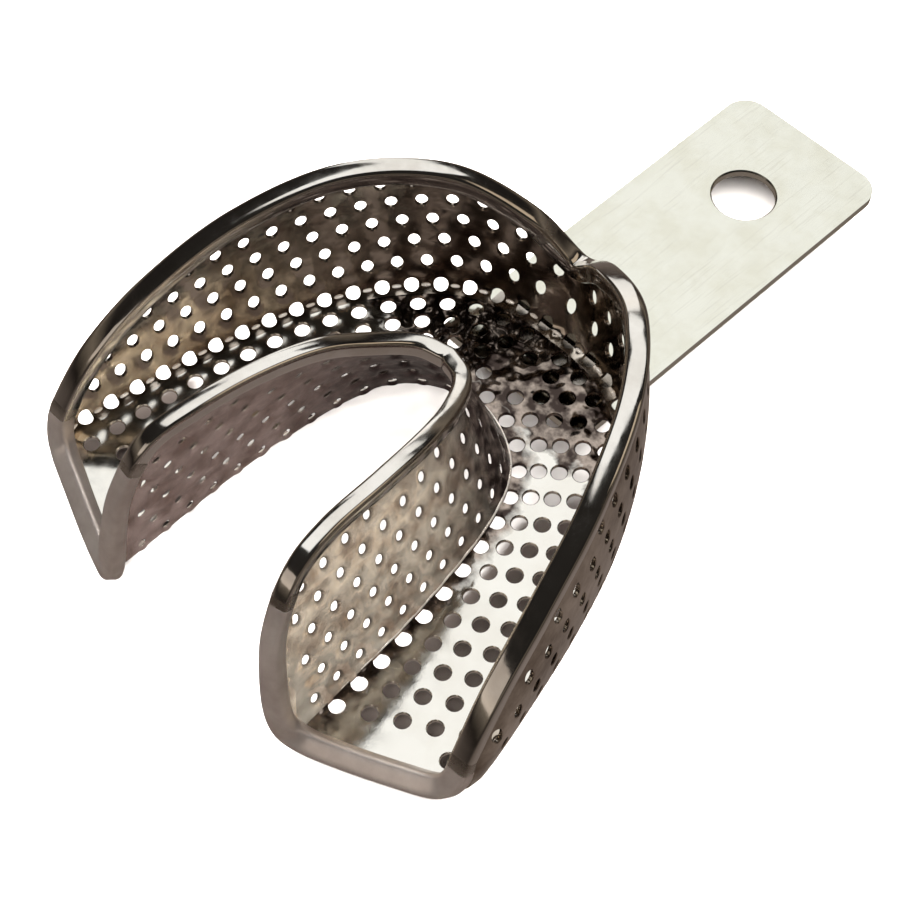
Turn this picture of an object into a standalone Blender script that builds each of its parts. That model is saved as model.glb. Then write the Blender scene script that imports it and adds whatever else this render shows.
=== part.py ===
"""Perforated metal impression tray for the lower jaw, with a flat drilled handle.

The tray is a U-shaped trough: a flat floor with an outer and a lingual wall standing on it,
a solid half-round rim soldered along every free edge, and a flat handle soldered under the
front.  Run with: blender --background --python part.py

Frame: metres, +X to the wearer's left, +Y towards the handle, +Z up.  The shapes are laid out
from a datum at the centre of the handle's hole, on the handle's top face, and an empty then
places them all, so that the origin lies under the middle of the tray, at its lowest point.
"""
import math

import bmesh
import bpy
from mathutils import Vector

MM = 0.001

# Where the datum stands in the tray's own frame.
DATUM_Y = 39.25 * MM
DATUM_Z = 6.21 * MM

# Sheet, rod and joint sizes.
SHEET = 0.7 * MM            # perforated sheet
GAP = 0.3 * MM              # clearance kept between pieces that touch
ROD_WIDTH = 2.7 * MM        # half-round rim rod, across its flat
ROD_HEIGHT = 2.3 * MM
ROD_OVERHANG = 0.35 * MM    # how far the rim stands out past the outside of its wall
FOOT_LIFT = 0.5 * MM        # height of a wall's foot above the floor's top face
HEAD_CLEARANCE = 0.45 * MM  # between a wall's head and the underside of its rim rod
FLOOR_LIP = 0.45 * MM       # floor margin outside the middle of each wall
SEAM_NEAR = 0.75 * MM       # solder fillet inside each crease: distance from the wall's middle
SEAM_LEG = 0.7 * MM

# The floor is one plane, which falls from the front to the heels.
FLOOR_FRONT_Y = -33.5 * MM
FLOOR_FRONT_Z = 2.2 * MM
FLOOR_SLOPE = math.tan(math.radians(6.65))

# Right-hand half of each crease, from the middle of the front to the heel: X, Y in millimetres.
OUTER_CREASE = [(0, -33.6), (7.5, -34.2), (14, -37.2), (19.8, -43), (24.6, -51),
                (28.1, -61), (30.7, -71.5), (32.4, -80.2)]
LINGUAL_CREASE = [(0, -46.8), (5.2, -48.2), (9.2, -51.4), (11.6, -57), (13, -64.5),
                  (13.9, -73), (14.2, -81), (14.3, -88)]

# Right-hand half of the rim rod's centre line, with Z, in three stretches that join up:
# down the outer wall, round the heel, and back along the lingual wall to the middle.
OUTER_RIM = [(0, -31, 12), (6.1, -33.4, 17.5), (14.2, -38.3, 21.6), (21.8, -47.4, 22.3),
             (26.9, -58.5, 19.4), (29.7, -68.8, 14.5), (31.1, -76.5, 8.8), (31.8, -81.2, 2.4)]
HEEL_RIM = [(31.7, -82.6, -0.9), (30.2, -83.6, -3.2), (26.4, -85.2, -4.0), (20, -87.9, -4.4),
            (15.6, -89.6, -4.1), (13.6, -90.6, -1.2), (12.6, -90.4, 6), (11.9, -89.2, 13)]
LINGUAL_RIM = [(11.2, -85.6, 19), (10.4, -80, 20.4), (9.7, -72, 19.8), (8.4, -64, 18.2),
               (6.3, -58, 15.9), (3.5, -53.6, 14.4), (0, -52.2, 14)]

STATIONS = 40               # spans in half a crease
WALL_ROWS = 3               # spans up a wall
ROD_STEP = 2.0 * MM         # spacing of the rod's sections
ROD_DOME_STEPS = 5
FRENUM_HALF = 6.0 * MM      # length of rim rod on each side of the middle of the notch
HEEL_START_Y = -81.6 * MM   # where the outer rim ends and the heel rim begins
HEEL_END_Z = 16.5 * MM      # where the heel rim ends and the lingual rim begins
JOINT_LENGTH = 0.6 * MM     # solder in the butt joints of the rim
OUTER_BULGE = 0.9 * MM      # how far the outer wall bows outwards at mid height
LINGUAL_BULGE = 0.4 * MM
HEEL_BOW = 2.2 * MM         # how far the lingual wall's heel edge bows backwards
HEEL_BOW_SPANS = 6

# Handle.
HANDLE_WIDTH = 22.6 * MM
HANDLE_THICK = 1.1 * MM
HANDLE_TIP_Y = 13.3 * MM
HANDLE_ROOT_Y = -41.5 * MM  # end of the tongue that laps under the floor
HANDLE_CORNER = 3.2 * MM
HOLE_RADIUS = 3.97 * MM
ROUND_STEPS = 6             # segments in each corner of the handle
HOLE_STEPS = 32
PAD_HALF = 9.5 * MM         # solder between the handle and the floor
PAD_FRONT_Y = -33.2 * MM
PAD_BACK_Y = -37.0 * MM
FILLET_LENGTH = 1.5 * MM
FILLET_HEIGHT = 1.3 * MM

UP = Vector((0, 0, 1))
HEEL_HINT = Vector((0, -0.7, 0.7))


def metres(points):
    """The points, given in millimetres, as vectors in metres."""
    return [Vector((p[0], p[1], p[2] if len(p) > 2 else 0.0)) * MM for p in points]


def floor_z(y):
    """Height of the floor's top face above the datum."""
    return FLOOR_FRONT_Z + FLOOR_SLOPE * (y - FLOOR_FRONT_Y)


def on_floor(points, lift=0.0):
    """The points moved to the floor's top face, or lift above it."""
    return [Vector((p.x, p.y, floor_z(p.y) + lift)) for p in points]


def mirrored(knots):
    """The half rail and its mirror image, from the left heel to the right."""
    left = [Vector((-k.x, k.y, k.z)) for k in reversed(knots[1:])]
    return left + list(knots)


def smooth(knots):
    """A Catmull-Rom curve through the knots, finely divided."""
    spans = 24
    ends = [2 * knots[0] - knots[1]] + list(knots) + [2 * knots[-1] - knots[-2]]
    fine = []
    for a, b, c, d in zip(ends, ends[1:], ends[2:], ends[3:]):
        for i in range(spans):
            t = i / spans
            fine.append(0.5 * (2 * b + (c - a) * t + (2 * a - 5 * b + 4 * c - d) * t * t
                               + (3 * b - a - 3 * c + d) * t ** 3))
    fine.append(knots[-1].copy())
    return fine


def lengths(path):
    """The distance along a path to each of its points."""
    run = [0.0]
    for a, b in zip(path, path[1:]):
        run.append(run[-1] + (b - a).length)
    return run


def resampled(path, count, start=0.0, end=None):
    """count + 1 points at equal steps along a path, between two distances along it."""
    run = lengths(path)
    end = run[-1] if end is None else end
    points = []
    k = 0
    for i in range(count + 1):
        want = start + (end - start) * i / count
        while k < len(run) - 2 and run[k + 1] < want:
            k += 1
        points.append(path[k].lerp(path[k + 1], (want - run[k]) / (run[k + 1] - run[k])))
    return points


def plan_normals(points):
    """Unit vectors in plan, pointing out of the U from a rail that runs left heel to right."""
    last = len(points) - 1
    normals = []
    for i in range(len(points)):
        way = points[min(i + 1, last)] - points[max(i - 1, 0)]
        normals.append(Vector((-way.y, way.x, 0.0)).normalized())
    return normals


def shifted(points, distance):
    """The rail moved in plan, out of the U where distance is positive."""
    return [p + n * distance for p, n in zip(points, plan_normals(points))]


def under_rod(points):
    """The rail moved straight down, clear of the underside of a rod that runs along it."""
    last = len(points) - 1
    moved = []
    for i, point in enumerate(points):
        way = points[min(i + 1, last)] - points[max(i - 1, 0)]
        level = math.hypot(way.x, way.y) / way.length
        moved.append(point - UP * ((ROD_HEIGHT / 2 + HEAD_CLEARANCE) / max(level, 0.4)))
    return moved


def new_object(name, build, material, smooth_angle=None):
    """Makes a named object, under the datum, from a function that fills a bmesh."""
    mesh = bpy.data.meshes.new(name)
    bm = bmesh.new()
    build(bm)
    bmesh.ops.recalc_face_normals(bm, faces=bm.faces)
    bm.to_mesh(mesh)
    bm.free()
    mesh.materials.append(material)
    if smooth_angle is not None:
        mesh.shade_smooth()
        mesh.set_sharp_from_angle(angle=math.radians(smooth_angle))
    obj = bpy.data.objects.new(name, mesh)
    bpy.context.scene.collection.objects.link(obj)
    obj.parent = datum


def fill_tube(bm, rings):
    """Joins rings of points into one body, closed at both ends."""
    loops = [[bm.verts.new(p) for p in ring] for ring in rings]
    for a, b in zip(loops, loops[1:]):
        for i in range(len(a)):
            j = (i + 1) % len(a)
            bm.faces.new((a[i], a[j], b[j], b[i]))
    bm.faces.new(list(reversed(loops[0])))
    bm.faces.new(loops[-1])


def half_round():
    """The rim rod's section as side and up offsets: flat below, domed above."""
    half = ROD_WIDTH / 2
    shoulder = ROD_HEIGHT * 0.35
    dome = ROD_HEIGHT - shoulder
    section = [(-half, -ROD_HEIGHT / 2), (half, -ROD_HEIGHT / 2)]
    for i in range(ROD_DOME_STEPS + 1):
        angle = math.pi * i / ROD_DOME_STEPS
        rise = shoulder + dome * math.sin(angle) - ROD_HEIGHT / 2
        section.append((half * math.cos(angle), rise))
    return section


def rim_up(point):
    """The way the rod's dome faces: up along the walls, and backwards round the heels."""
    heel = (HEEL_START_Y + 6 * MM - point.y) / (8 * MM)
    if point.z > 0:
        heel = min(heel, 1 - (point.z / MM - 6) / 10)
    return UP.lerp(HEEL_HINT, min(max(heel, 0.0), 1.0))


def rod_rings(path, start, end):
    """Sections of the rim rod between two distances along its centre line."""
    count = max(1, round((end - start) / ROD_STEP))
    points = resampled(path, count, start, end)
    ahead = resampled(path, count, start + 0.1 * MM, end + 0.1 * MM)
    rings = []
    for point, further in zip(points, ahead):
        way = (further - point).normalized()
        side = way.cross(rim_up(point)).normalized()
        up = side.cross(way).normalized()
        rings.append([point + side * s + up * h for s, h in half_round()])
    return rings


def wall(bm, foot, head, bulge, heel_bow):
    """A sheet from the foot rail up to the head rail, bowed outwards at mid height."""
    columns = []
    last = len(foot) - 1
    for i, (low, high, normal) in enumerate(zip(foot, head, plan_normals(foot))):
        rise = high - low
        across = (normal - rise * normal.dot(rise) / rise.length_squared).normalized()
        near_heel = max(0.0, 1 - min(i, last - i) / HEEL_BOW_SPANS)
        back = Vector((0, -heel_bow * near_heel, 0))
        outside = []
        inside = []
        for row in range(WALL_ROWS + 1):
            t = row / WALL_ROWS
            middle = low + rise * t + (across * bulge + back) * (4 * t * (1 - t))
            outside.append(middle + across * SHEET / 2)
            inside.append(middle - across * SHEET / 2)
        columns.append(outside + inside[::-1])
    fill_tube(bm, columns)


def outer_wall(bm):
    """The labial and buccal wall, from the outer crease up to the outer rim."""
    head = shifted(outer_rim, ROD_WIDTH / 2 - ROD_OVERHANG - SHEET / 2)
    wall(bm, on_floor(outer_crease, FOOT_LIFT), under_rod(head), OUTER_BULGE, 0.0)


def lingual_wall(bm):
    """The wall on the tongue's side, from the lingual crease up to the lingual rim."""
    head = shifted(lingual_rim, -(ROD_WIDTH / 2 - ROD_OVERHANG - SHEET / 2))
    wall(bm, on_floor(lingual_crease, FOOT_LIFT), under_rod(head), LINGUAL_BULGE, HEEL_BOW)


def floor_plate(bm):
    """The flat U-shaped floor, which the walls stand on."""
    outer = on_floor(shifted(outer_crease, FLOOR_LIP))
    lingual = on_floor(shifted(lingual_crease, -FLOOR_LIP))
    drop = Vector((0, FLOOR_SLOPE, -1)).normalized() * SHEET
    fill_tube(bm, [[a, b, b + drop, a + drop] for a, b in zip(outer, lingual)])


def seam(bm, crease, side):
    """A solder fillet in the trough's corner, between a wall's foot and the floor."""
    foot = on_floor(shifted(crease, side * SEAM_NEAR), GAP)
    toe = on_floor(shifted(crease, side * (SEAM_NEAR + SEAM_LEG)), GAP)
    top = on_floor(shifted(crease, side * SEAM_NEAR), GAP + SEAM_LEG)
    rings = [list(ring) for ring in zip(foot, toe, top)]
    fill_tube(bm, rings[1:-1])


def prism(bm, outline, half):
    """A solid with the same Y and Z outline from X = -half to X = half."""
    fill_tube(bm, [[Vector((x, y, z)) for y, z in outline] for x in (-half, half)])


def handle_pad(bm):
    """The solder layer between the handle's tongue and the floor above it."""
    outline = [(PAD_BACK_Y, GAP), (PAD_FRONT_Y, GAP)]
    outline += [(y, floor_z(y) - SHEET - GAP - 0.05 * MM) for y in (PAD_FRONT_Y, PAD_BACK_Y)]
    prism(bm, outline, PAD_HALF)


def handle_fillet(bm):
    """The solder fillet between the handle and the front of the floor's lip."""
    start = OUTER_CREASE[0][1] * MM + FLOOR_LIP + GAP
    outline = [(start, GAP), (start + FILLET_LENGTH, GAP), (start, GAP + FILLET_HEIGHT)]
    prism(bm, outline, PAD_HALF)


def plate_edge(bm, outline):
    """The side faces of a flat plate: returns its top and bottom loops of vertices."""
    top = [bm.verts.new(p) for p in outline]
    bottom = [bm.verts.new(p - UP * HANDLE_THICK) for p in outline]
    for i in range(len(outline)):
        j = (i + 1) % len(outline)
        bm.faces.new((top[i], bottom[i], bottom[j], top[j]))
    return top, bottom


def handle_plate(bm):
    """The flat handle: two rounded corners, a round hole, and a tongue under the floor."""
    half = HANDLE_WIDTH / 2
    outline = [Vector((half, HANDLE_ROOT_Y, 0))]
    for side, start in ((1, 0.0), (-1, math.pi / 2)):
        centre = Vector((side * (half - HANDLE_CORNER), HANDLE_TIP_Y - HANDLE_CORNER, 0))
        for i in range(ROUND_STEPS + 1):
            angle = start + math.pi / 2 * i / ROUND_STEPS
            outline.append(centre + Vector((math.cos(angle), math.sin(angle), 0)) * HANDLE_CORNER)
    outline.append(Vector((-half, HANDLE_ROOT_Y, 0)))
    angles = [2 * math.pi * i / HOLE_STEPS for i in range(HOLE_STEPS)]
    hole = [Vector((math.cos(a), math.sin(a), 0)) * HOLE_RADIUS for a in angles]
    for rim, bore in zip(plate_edge(bm, outline), plate_edge(bm, hole)):
        edges = [bm.edges.get((loop[i], loop[(i + 1) % len(loop)]))
                 for loop in (rim, bore) for i in range(len(loop))]
        bmesh.ops.triangle_fill(bm, use_beauty=True, edges=edges)


def metal(name, colour, roughness):
    """A metal material in one colour."""
    material = bpy.data.materials.new(name)
    material.use_nodes = True
    shader = material.node_tree.nodes["Principled BSDF"]
    shader.inputs["Base Color"].default_value = (*colour, 1.0)
    shader.inputs["Roughness"].default_value = roughness
    shader.inputs["Metallic"].default_value = 1.0
    return material


def rim_pieces(path):
    """The rim's rods and the solder in its butt joints, as name, start and end distances."""
    run = lengths(path)
    middle = run[-1] / 2
    # The loop runs from the lingual middle round the left heel to the front and back again.
    half = list(zip(path, run))[len(path) // 2:]
    heel = next(d for p, d in half if p.y < HEEL_START_Y)
    heel_end = next(d for p, d in half if d > heel and p.z > HEEL_END_Z)
    apart = GAP + JOINT_LENGTH / 2
    cuts = [("notch_solder", middle + FRENUM_HALF), ("heel_solder", heel),
            ("lingual_solder", heel_end)]
    pieces = [("frenum_rim", middle - FRENUM_HALF + apart, middle + FRENUM_HALF - apart)]
    for hand, flip in (("right", False), ("left", True)):
        spans = [(name + "_" + hand, d - JOINT_LENGTH / 2, d + JOINT_LENGTH / 2)
                 for name, d in cuts]
        spans.append(("outer_rim_" + hand, cuts[0][1] + apart, cuts[1][1] - apart))
        spans.append(("heel_rim_" + hand, cuts[1][1] + apart, cuts[2][1] - apart))
        for name, start, end in spans:
            pieces.append((name, 2 * middle - end, 2 * middle - start) if flip
                          else (name, start, end))
    return pieces, heel_end + apart


for old in list(bpy.data.objects):
    bpy.data.objects.remove(old, do_unlink=True)

datum = bpy.data.objects.new("tray_datum", None)
datum.location = (0.0, DATUM_Y, DATUM_Z)
bpy.context.scene.collection.objects.link(datum)

sheet_metal = metal("perforated_sheet", (0.60, 0.56, 0.50), 0.30)
rim_metal = metal("polished_rod", (0.70, 0.68, 0.64), 0.15)
handle_metal = metal("satin_plate", (0.78, 0.77, 0.71), 0.35)
solder_metal = metal("solder", (0.62, 0.61, 0.58), 0.45)

outer_crease = resampled(smooth(mirrored(metres(OUTER_CREASE))), 2 * STATIONS)
lingual_crease = resampled(smooth(mirrored(metres(LINGUAL_CREASE))), 2 * STATIONS)
outer_rim = resampled(smooth(mirrored(metres(OUTER_RIM))), 2 * STATIONS)
lingual_rim = resampled(smooth(mirrored(metres(LINGUAL_RIM)[::-1])), 2 * STATIONS)
rim_loop = smooth(mirrored(metres(OUTER_RIM + HEEL_RIM + LINGUAL_RIM)))

new_object("floor_plate", floor_plate, sheet_metal)
new_object("outer_wall", outer_wall, sheet_metal, 40)
new_object("lingual_wall", lingual_wall, sheet_metal, 40)
new_object("outer_seam_solder", lambda bm: seam(bm, outer_crease, -1), solder_metal)
new_object("lingual_seam_solder", lambda bm: seam(bm, lingual_crease, 1), solder_metal)

rim_spans, lingual_start = rim_pieces(rim_loop)
for rim_name, rim_start, rim_end in rim_spans:
    sections = rod_rings(rim_loop, rim_start, rim_end)
    finish = solder_metal if "solder" in rim_name else rim_metal
    new_object(rim_name, lambda bm: fill_tube(bm, sections), finish, 40)

# The lingual rod runs through the middle, where the loop of the other rods starts and ends.
to_middle = resampled(rim_loop, 60, lingual_start, lengths(rim_loop)[-1])
lingual_path = smooth(mirrored(to_middle[::-1]))
lingual_rod = rod_rings(lingual_path, 0.0, lengths(lingual_path)[-1] - 0.1 * MM)
new_object("lingual_rim", lambda bm: fill_tube(bm, lingual_rod), rim_metal, 40)

new_object("handle_plate", handle_plate, handle_metal)
new_object("handle_pad_solder", handle_pad, solder_metal)
new_object("handle_fillet_solder", handle_fillet, solder_metal)
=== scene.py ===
import math

import bpy
import numpy as np
from mathutils import Matrix, Vector
from mathutils.geometry import delaunay_2d_cdt


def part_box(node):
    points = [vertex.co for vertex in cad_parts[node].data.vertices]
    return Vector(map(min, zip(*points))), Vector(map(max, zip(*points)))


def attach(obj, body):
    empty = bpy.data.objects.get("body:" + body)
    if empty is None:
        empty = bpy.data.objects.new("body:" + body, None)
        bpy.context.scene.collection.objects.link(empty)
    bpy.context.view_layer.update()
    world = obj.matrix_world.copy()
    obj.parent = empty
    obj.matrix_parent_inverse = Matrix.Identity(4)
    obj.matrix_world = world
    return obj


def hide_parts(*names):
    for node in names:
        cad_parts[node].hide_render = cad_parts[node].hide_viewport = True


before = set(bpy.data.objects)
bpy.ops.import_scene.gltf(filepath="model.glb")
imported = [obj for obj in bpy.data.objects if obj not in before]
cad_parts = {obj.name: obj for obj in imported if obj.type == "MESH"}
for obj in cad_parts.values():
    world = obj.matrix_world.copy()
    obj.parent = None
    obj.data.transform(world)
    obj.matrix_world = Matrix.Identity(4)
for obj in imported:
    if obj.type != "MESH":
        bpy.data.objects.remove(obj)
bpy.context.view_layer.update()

MM = 0.001
SAME_PLACE = 1e-6           # points nearer to each other than this are one

# Sheet, rods and handle.
SHEET = 0.55
ROD_WIDTH = 2.7
ROD_HEIGHT = 2.3
ROD_OVERHANG = 0.35
ROD_CORNER = 0.5
ROD_CORNER_STEPS = 5
ROD_CROWN = 0.09            # how far the rod's top falls away from its middle to its edge
ROD_CROWN_AT = (0.35, 0, -0.35)     # the crown's points over half the rod's width
ROD_LEAN = (0.0, -0.7, 0.7)         # which way the rod's top faces round the heel
ROD_STEP = 0.5              # about the distance between a rod's sections
LINGUAL_SLIMMING = 0.80     # the lingual rod's width over that of the others
LINGUAL_JOIN = 0.85         # the heel rod's size where it meets the lingual rod
LINGUAL_GAP = 0.2           # from the heel rod's end to the lingual rod's, inside the solder
HANDLE_WIDTH = 22.6
HANDLE_THICK = 1.1
HANDLE_TIP_Y = 13.3
HANDLE_ROOT_Y = -41.5
HANDLE_CORNER = 3.2
HANDLE_CORNER_STEPS = 16
HANDLE_HOLE = 3.97
HANDLE_HOLE_SIDES = 72
HANDLE_EASE = 0.18
FLOOR_FRONT_Y = -33.5
FLOOR_FRONT_Z = 2.2
FLOOR_SLOPE = math.tan(math.radians(6.65))
HEEL_START_Y = -81.6        # where the heel rod starts
HEEL_END_Z = 16.5           # and the height where it ends
FRENUM_HALF = 6.0           # half the length of the rod over the notch at the front

# The walls' faces.
OUTER_BULGE = 0.9
LINGUAL_BULGE = 0.4
HEEL_BOW = 3.0              # how far the lingual wall's heel bows to the back
HEEL_SHARE = 0.075          # the share of a wall's length where it bows
OUTER_BEND = 0.35           # half the width of the bend at the crease
LINGUAL_BEND = 0.3
OUTER_STRIP = 1.4           # the margin of floor in the wall's piece
LINGUAL_STRIP = 0.35
WALL_STEPS = 161            # points along a wall's borders

# The half of each rail at +X, which is called right; the creases run on to the heel rim.
OUTER_CREASE = [(0, -33.6), (7.5, -34.2), (14, -37.2), (19.8, -43), (24.6, -51),
                (28.1, -61), (30.7, -71.5), (32.2, -79.6), (31.6, -82.7)]
LINGUAL_CREASE = [(0, -46.8), (5.2, -48.2), (9.2, -51.4), (11.6, -57), (13, -64.5),
                  (13.9, -73), (14.2, -81), (14.5, -89.4)]
OUTER_RIM = [(0, -31, 12), (6.1, -33.4, 17.5), (14.2, -38.3, 21.6), (21.8, -47.4, 22.3),
             (26.9, -58.5, 19.4), (29.7, -68.8, 14.5), (31.1, -76.5, 8.8), (31.8, -81.2, 2.4)]
HEEL_RIM = [(31.7, -82.6, -0.9), (30.2, -83.6, -3.2), (26.4, -85.2, -4.0), (20, -87.9, -4.4),
            (15.6, -89.6, -4.1), (13.6, -90.6, -1.2), (12.6, -90.4, 6), (11.9, -89.2, 13)]
LINGUAL_RIM = [(11.2, -85.6, 19), (10.4, -80, 20.4), (9.7, -72, 19.8), (8.4, -64, 18.2),
               (6.3, -58, 15.9), (3.5, -53.6, 14.4), (0, -52.2, 14)]

# Perforation.
HOLE_RADIUS = 0.93
HOLE_SIDES = 16
HOLE_CHAMFER = 0.10
OUTER_BORE = 0.87           # the outer wall's holes are a little smaller
LINGUAL_BORE = 0.62         # and the lingual wall's are dimples with a small opening
LINGUAL_CHAMFER = 0.42
CHAMFER_DEPTH = 0.4         # a chamfer's greatest depth over the sheet's thickness
PITCH = 3.5
WALL_ROW = 3.6              # rows up the walls, where the sheet was stretched
WALL_ROWS = 7               # the most rows that a wall can have
WALL_HOLE = (0.82, 1.18)    # the width and height of a hole above the crease over a floor hole's
LEAST_STRETCH = 0.9         # the least that a wall's face moves with h, where a hole is sized
OUTER_FIRST_ROW = 0.0       # the outer wall's first row lies on the crease
LINGUAL_FIRST_ROW = 1.8     # the lingual wall's first row above the crease
OUTER_TOP_MARGIN = 0.6      # the least distance from a hole to the wall's top
LINGUAL_TOP_MARGIN = 2.2
WALL_HEEL_MARGIN = 2.6      # and from a hole's centre to the wall's end
FLOOR_HEEL_MARGIN = 1.6     # from a floor hole to the heel
LINGUAL_MARGIN = 1.4        # the floor's last row before the lingual crease
FLOOR_ROWS = 5              # rows on the floor, inside the row on the outer crease
ANCHOR_Y = -72.0            # where the rows' staggering starts from
MIDDLE_SNAP = 0.9           # a hole nearer to the middle than this moves onto it
MIDDLE_CLEAR = 1.4          # and one nearer than this is left out
ROW_STEPS = 600             # points along half a row, to measure it
WALL_FILL = (1.3, 0.45)     # the spacing of the extra points, and their distance from an edge
FLOOR_FILL = (2.5, 0.6)

# Solder.
BEAD_RADIUS = 0.24
BEAD_SIDES = 10
BEAD_SHIFT = 0.16           # from the crease towards the trough
BEAD_CLEAR = 1.22           # from the middle of a hole on the crease
BEAD_END = 0.6              # from the end of the crease
BEAD_STEP = 0.6
LUMP_HALF = 1.1             # half the length of a lump of solder on the rim
LUMP_SIZE = 0.99            # its size at its ends, over the rod's
LUMP_SWELL = 0.025          # and how much it grows in the middle

_, handle_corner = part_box("handle_plate")
datum = np.array([0.0, handle_corner.y, handle_corner.z]) - np.array([0.0, HANDLE_TIP_Y, 0.0]) * MM


def floor_z(y):
    """Height of the floor's top face above the datum."""
    return FLOOR_FRONT_Z + FLOOR_SLOPE * (y - FLOOR_FRONT_Y)


def on_floor(points):
    """The points moved to the floor's top face."""
    return np.column_stack([points[:, 0], points[:, 1], floor_z(points[:, 1])])


def mirrored(knots):
    """The half rail and its mirror image, from the left heel to the right."""
    half = np.array([tuple(k) + (0.0,) * (3 - len(k)) for k in knots], float)
    return np.vstack([half[:0:-1] * (-1, 1, 1), half])


def smooth(knots, spans=24):
    """A Catmull-Rom curve through the knots, finely divided."""
    ends = np.vstack([2 * knots[0] - knots[1], knots, 2 * knots[-1] - knots[-2]])
    fine = []
    for a, b, c, d in zip(ends, ends[1:], ends[2:], ends[3:]):
        for i in range(spans):
            t = i / spans
            fine.append(0.5 * (2 * b + (c - a) * t + (2 * a - 5 * b + 4 * c - d) * t * t
                               + (3 * b - a - 3 * c + d) * t ** 3))
    fine.append(knots[-1])
    return np.array(fine)


def run_of(path, dims=3):
    """The distance along a path to each of its points, in space or, with dims 2, in plan."""
    steps = np.linalg.norm(np.diff(path[:, :dims], axis=0), axis=1)
    return np.concatenate([[0.0], np.cumsum(steps)])


def at(path, run, where):
    """Points at given distances along a path."""
    return np.column_stack([np.interp(where, run, path[:, k]) for k in range(path.shape[1])])


def unit(v):
    """The rows of an array scaled to length 1."""
    return v / np.linalg.norm(v, axis=1, keepdims=True)


def plan_normals(path):
    """Unit vectors in plan, pointing out of the U from a rail that runs left heel to right."""
    way = np.gradient(path, axis=0)
    return unit(np.column_stack([-way[:, 1], way[:, 0], np.zeros(len(path))]))


class Wall:
    """A wall's trough-side face, over the distance u along its crease and the height h up it.

    Below h = 0 the face runs on into the floor, round a bend.
    """

    def __init__(self, crease, rim, side, bulge, bow, bend, strip):
        """side is -1 where the trough lies inside the crease, and 1 where it lies outside it."""
        self.side = side
        self.bend = bend
        self.strip = strip
        self.bulge = bulge
        self.bow = bow
        self.foot = on_floor(crease)
        self.foot_run = run_of(self.foot, 2)
        self.out = plan_normals(self.foot)
        self.length = self.foot_run[-1]
        off = ROD_WIDTH / 2 - ROD_OVERHANG - SHEET
        self.head = rim - plan_normals(rim) * side * off
        head_run = run_of(self.head, 2)
        self.head_run = head_run * self.length / head_run[-1]

    def rise(self, u):
        """The foot, the way from the foot to the head, and the distance, at u."""
        foot = at(self.foot, self.foot_run, u)
        way = at(self.head, self.head_run, u) - foot
        return foot, way, np.linalg.norm(way, axis=1, keepdims=True)

    def standing(self, u, h):
        """Points on the standing part of the wall."""
        foot, way, height = self.rise(u)
        out = unit(at(self.out, self.foot_run, u))
        t = h[:, None] / height
        along = np.sum(out * way, axis=1, keepdims=True) / height ** 2
        across = unit(out - way * along)
        share = np.minimum(u, self.length - u) / self.length
        near_heel = np.clip(1 - share / HEEL_SHARE, 0, 1)[:, None]
        bowed = across * self.bulge + near_heel * np.array([0.0, -self.bow, 0.0])
        return foot + way * t + bowed * 4 * t * (1 - t)

    def lying(self, u, h):
        """Points on the strip of floor along the crease, where h is below zero."""
        foot = at(self.foot, self.foot_run, u)
        out = unit(at(self.out, self.foot_run, u))
        return on_floor(foot - out * self.side * h[:, None])

    def point(self, u, h):
        """Points on the face."""
        t = np.clip((h + self.bend) / (2 * self.bend), 0, 1)[:, None]
        edge = np.full_like(h, self.bend)
        below = self.lying(u, np.minimum(h, -self.bend))
        above = self.standing(u, np.maximum(h, self.bend))
        corner = at(self.foot, self.foot_run, u)
        start = self.lying(u, -edge)
        end = self.standing(u, edge)
        bend = (1 - t) ** 2 * start + 2 * t * (1 - t) * corner + t ** 2 * end
        hh = h[:, None]
        return np.where(hh <= -self.bend, below, np.where(hh >= self.bend, above, bend))

    def slopes(self, u, h):
        """How the face's points move with u and with h."""
        d = 0.05
        inner = np.clip(u, d, self.length - d)
        du = (self.point(inner + d, h) - self.point(inner - d, h)) / (2 * d)
        dh = (self.point(u, h + d) - self.point(u, h - d)) / (2 * d)
        return du, dh

    def normal(self, u, h):
        """The unit vector towards the trough."""
        du, dh = self.slopes(u, h)
        return unit(np.cross(du, dh)) * -self.side


class Floor:
    """The floor's top face, over plan X and Y."""

    def point(self, x, y):
        """Points on the face."""
        return np.column_stack([x, y, floor_z(y)])

    def normal(self, x, y):
        """The unit vector out of the floor."""
        up = np.array([0.0, -FLOOR_SLOPE, 1.0])
        return np.tile(up / np.linalg.norm(up), (len(x), 1))


class Plate:
    """A level face at the height of the datum."""

    def point(self, x, y):
        """Points on the face."""
        return np.column_stack([x, y, np.zeros(len(x))])

    def normal(self, x, y):
        """Straight up."""
        return np.tile([0.0, 0.0, 1.0], (len(x), 1))


def circle(radius, sides):
    """Points round a circle at the origin."""
    angle = np.arange(sides) * 2 * math.pi / sides
    return np.column_stack([np.cos(angle), np.sin(angle)]) * radius


def make(name, points, faces, material, replaced, sharp=35):
    """A piece of the tray, from points in millimetres from the datum."""
    mesh = bpy.data.meshes.new(name)
    mesh.from_pydata((points * MM + datum).tolist(), [], faces)
    mesh.validate()
    mesh.materials.append(material)
    mesh.shade_smooth()
    mesh.set_sharp_from_angle(angle=math.radians(sharp))
    piece = bpy.data.objects.new(name, mesh)
    bpy.context.scene.collection.objects.link(piece)
    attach(piece, "root")
    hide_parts(*replaced)
    return piece


def near(points, others, distance):
    """True for each point that lies nearer than distance to one of the others."""
    close = np.zeros(len(points), bool)
    for other in others:
        close |= np.sum((points - other) ** 2, axis=1) < distance ** 2
    return close


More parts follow.
